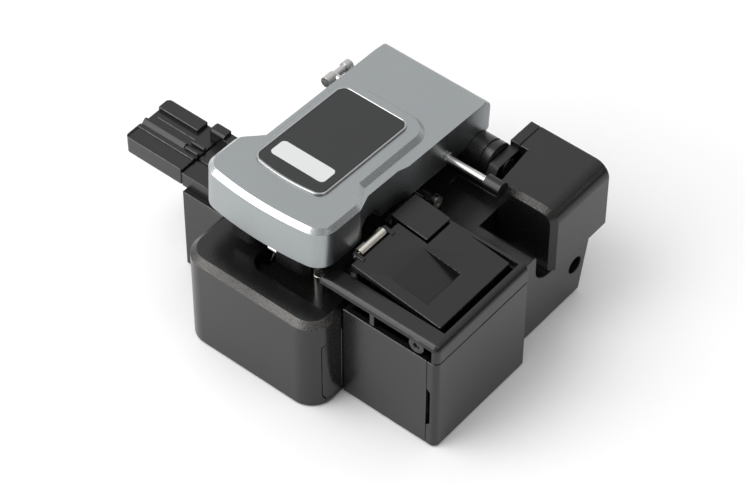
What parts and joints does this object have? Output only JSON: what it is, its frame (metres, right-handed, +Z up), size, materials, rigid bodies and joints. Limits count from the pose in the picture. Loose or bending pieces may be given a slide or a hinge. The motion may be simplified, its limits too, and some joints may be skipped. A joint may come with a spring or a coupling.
{
  "type": "optical fibre cleaver",
  "caption": "Compact bench cleaver for optical fibre: hinged clamp lever over a sliding blade wheel, scrap box with tilting lid, side fibre holder.",
  "frame": {"origin": "on the underside of the bottom plate, in the middle of the base across X and level with the middle of the carriage channel; the rubber feet stand 0.4 mm below it", "axes": "+X along the fibre from the fibre holder towards the scrap box, +Y from the front housing to the hinge, +Z up"},
  "size_m": [0.0974, 0.0756, 0.0476],
  "materials": {
    "black_anodised": "satin black anodised, fine bead-blasted grain",
    "holder_black": "satin black anodised",
    "lever_grey": "fine satin grey-green anodised",
    "plate_dark": "dark satin, plain",
    "bright_rim": "polished",
    "steel": "turned steel",
    "blade_steel": "ground hard metal",
    "dark_steel": "blackened steel",
    "rubber": "matte black rubber",
    "magnet": "nickel plated"
  },
  "bodies": {
    "base": {"base_body": "black_anodised", "front_housing": "black_anodised", "side_panel": "black_anodised", "bottom_plate": "black_anodised", "bottom_screws": "dark_steel", "rubber_feet": "rubber", "carriage_rail": "steel", "hinge_bracket_right": "dark_steel", "hinge_bracket_left": "black_anodised", "hinge_shaft": "steel", "lower_clamp_left": "black_anodised", "lower_pad_left": "rubber", "lower_clamp_right": "black_anodised", "lower_pad_right": "rubber", "latch_magnet": "dark_steel", "bin_housing": "black_anodised", "scrap_frame": "black_anodised", "lid_pin": "steel", "feed_axle": "steel", "feed_posts": "black_anodised", "rear_cover": "black_anodised", "cover_strip": "black_anodised", "screw_lug": "black_anodised", "return_screw": "steel", "holder_seat": "black_anodised", "holder_stop": "holder_black"},
    "lever": {"lever_body": "lever_grey", "nameplate": "plate_dark", "nameplate_bezel": "bright_rim", "hinge_barrel": "holder_black", "drive_rod": "steel", "rod_sleeve": "dark_steel", "side_post": "steel", "upper_clamp_left": "holder_black", "upper_pad_left": "rubber", "upper_clamp_right": "holder_black", "upper_pad_right": "rubber", "anvil": "steel", "latch_stud": "magnet", "clamp_screws": "steel"},
    "carriage": {"blade_carriage": "holder_black", "blade_screw": "steel"},
    "blade": {"blade_wheel": "blade_steel"},
    "bin": {"scrap_bin": "black_anodised"},
    "lid": {"scrap_lid": "black_anodised"},
    "pinch": {"pinch_roller": "steel"},
    "feed": {"feed_roller": "rubber"},
    "holder": {"fibre_holder": "holder_black"}
  },
  "joints": [
    {"name": "lever_hinge", "type": "hinge", "parent": "base", "child": "lever", "pos_m": [0, 0.0284, 0.0305], "axis": [-1, 0, 0], "range_deg": [0, 65]},
    {"name": "carriage_slide", "type": "slide", "parent": "base", "child": "carriage", "axis": [0, 1, 0], "range_m": [0, 0.0241]},
    {"name": "blade_spin", "type": "hinge", "parent": "carriage", "child": "blade", "pos_m": [-0.0075, -0.015, 0.01925], "axis": [1, 0, 0], "continuous": true},
    {"name": "bin_slide", "type": "slide", "parent": "base", "child": "bin", "axis": [1, 0, 0], "range_m": [0, 0.022]},
    {"name": "lid_hinge", "type": "hinge", "parent": "base", "child": "lid", "pos_m": [0.036, -0.0105, 0.03], "axis": [0, 1, 0], "range_deg": [-7, 55]},
    {"name": "pinch_spin", "type": "hinge", "parent": "lid", "child": "pinch", "pos_m": [0.01251, -0.0125, 0.0352], "axis": [0, 1, 0], "continuous": true},
    {"name": "feed_spin", "type": "hinge", "parent": "base", "child": "feed", "pos_m": [0.01205, -0.0125, 0.0291], "axis": [0, 1, 0], "continuous": true},
    {"name": "holder_slide", "type": "slide", "parent": "base", "child": "holder", "axis": [-1, 0, 0], "range_m": [0, 0.012]}
  ],
  "couplings": [
    {"joint": "carriage_slide", "follows": "lever_hinge", "m_per_rad": 0.0211}
  ]
}
